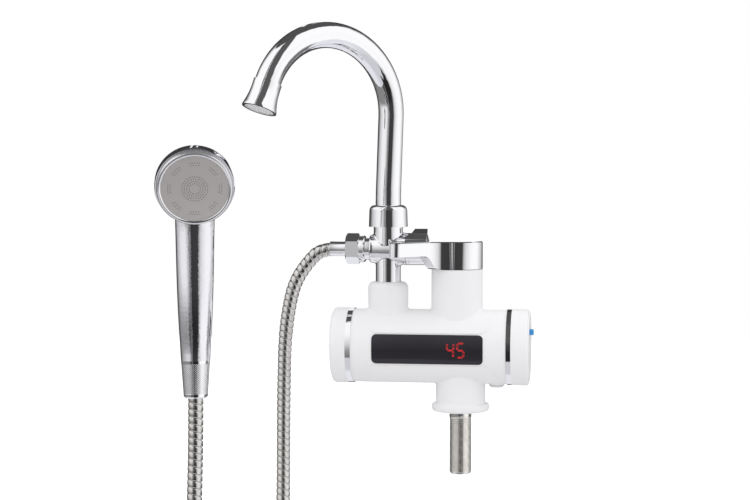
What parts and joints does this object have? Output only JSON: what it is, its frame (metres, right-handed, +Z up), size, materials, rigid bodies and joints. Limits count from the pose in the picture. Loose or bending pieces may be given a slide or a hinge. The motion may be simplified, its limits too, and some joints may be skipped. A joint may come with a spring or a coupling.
{
  "type": "electric instant water heater tap",
  "caption": "Deck tap with a flow-through electric heater in a horizontal barrel, swivel gooseneck spout, lever valve, diverter knob and hand shower on a ribbed metal hose.",
  "frame": {"origin": "on the inlet shank's axis, in the plane of the base flange's underside", "axes": "+Z up along the shank, +X along the barrel to the end with the button, -Y to the front with the display"},
  "size_m": [0.3082, 0.2742, 0.6984],
  "materials": {
    "white_abs": "polished moulded ABS",
    "black_gloss": "black gloss acrylic",
    "blue_button": "blue moulded plastic",
    "grey_nylon": "grey nylon",
    "chrome": "bright chrome plate",
    "steel": "stainless steel",
    "brass": "machined brass",
    "ceramic": "ground ceramic",
    "rubber": "black rubber",
    "board": "glass fibre circuit board",
    "red_led": "smoked red display",
    "black_plastic": "black moulded plastic"
  },
  "bodies": {
    "tap_body": {"main_housing": "white_abs", "left_end_cap": "white_abs", "right_end_cap": "white_abs", "outlet_nut": "white_abs", "left_trim_ring": "chrome", "right_trim_ring": "chrome", "display_window": "black_gloss", "cable_gland": "grey_nylon", "inlet_shank": "steel", "diverter_body": "chrome", "spout_collar": "chrome", "hose_nut": "chrome", "hose_ferrule": "chrome", "shower_hose": "steel", "heating_chamber": "black_plastic", "heating_element": "steel", "element_plate": "steel", "chamber_seal": "rubber", "flow_switch": "black_plastic", "thermal_cutout": "black_plastic", "temperature_probe": "steel", "control_board": "board", "led_module": "red_led", "board_screws": "steel", "reset_switch": "black_plastic", "outlet_nipple": "brass", "outlet_seal": "rubber", "valve_body": "brass", "valve_cartridge": "ceramic", "cartridge_nut": "brass", "diverter_bonnet": "brass", "shank_seal": "rubber", "base_seal": "rubber", "inlet_filter": "steel", "hose_washer": "rubber", "hose_end_ferrule": "chrome"},
    "spout": {"spout_tube": "chrome", "spout_fitting": "brass", "spout_orings": "rubber", "spout_nozzle": "chrome", "aerator": "grey_nylon"},
    "handle": {"handle_lever": "chrome", "handle_screw": "steel", "handle_plug": "grey_nylon", "cartridge_stem": "brass"},
    "diverter": {"diverter_knob": "chrome", "diverter_stem": "brass", "diverter_orings": "rubber", "diverter_screw": "chrome"},
    "reset": {"reset_button": "blue_button"},
    "handset": {"handset_body": "chrome", "handset_bezel": "chrome", "spray_plate": "steel", "spray_seal": "rubber", "cone_nut": "chrome", "handset_washer": "rubber"}
  },
  "joints": [
    {"name": "spout_swivel", "type": "hinge", "parent": "tap_body", "child": "spout", "pos_m": [-0.0693, 0, 0.18], "axis": [0, 0, 1], "continuous": true},
    {"name": "handle_turn", "type": "hinge", "parent": "tap_body", "child": "handle", "pos_m": [-0.0035, 0, 0.14], "axis": [0, 0, 1], "range_deg": [0, 92]},
    {"name": "diverter_turn", "type": "hinge", "parent": "tap_body", "child": "diverter", "pos_m": [-0.05, 0, 0.1535], "axis": [-1, 0, 0], "range_deg": [0, 90]},
    {"name": "reset_press", "type": "slide", "parent": "tap_body", "child": "reset", "axis": [-1, 0, 0], "range_m": [0, 0.002], "stiffness_N_per_m": 400, "springref_m": -0.002},
    {"name": "handset_swivel", "type": "hinge", "parent": "tap_body", "child": "handset", "pos_m": [-0.2086, -0.2012, 0.05], "axis": [0, 0, 1], "continuous": true}
  ]
}
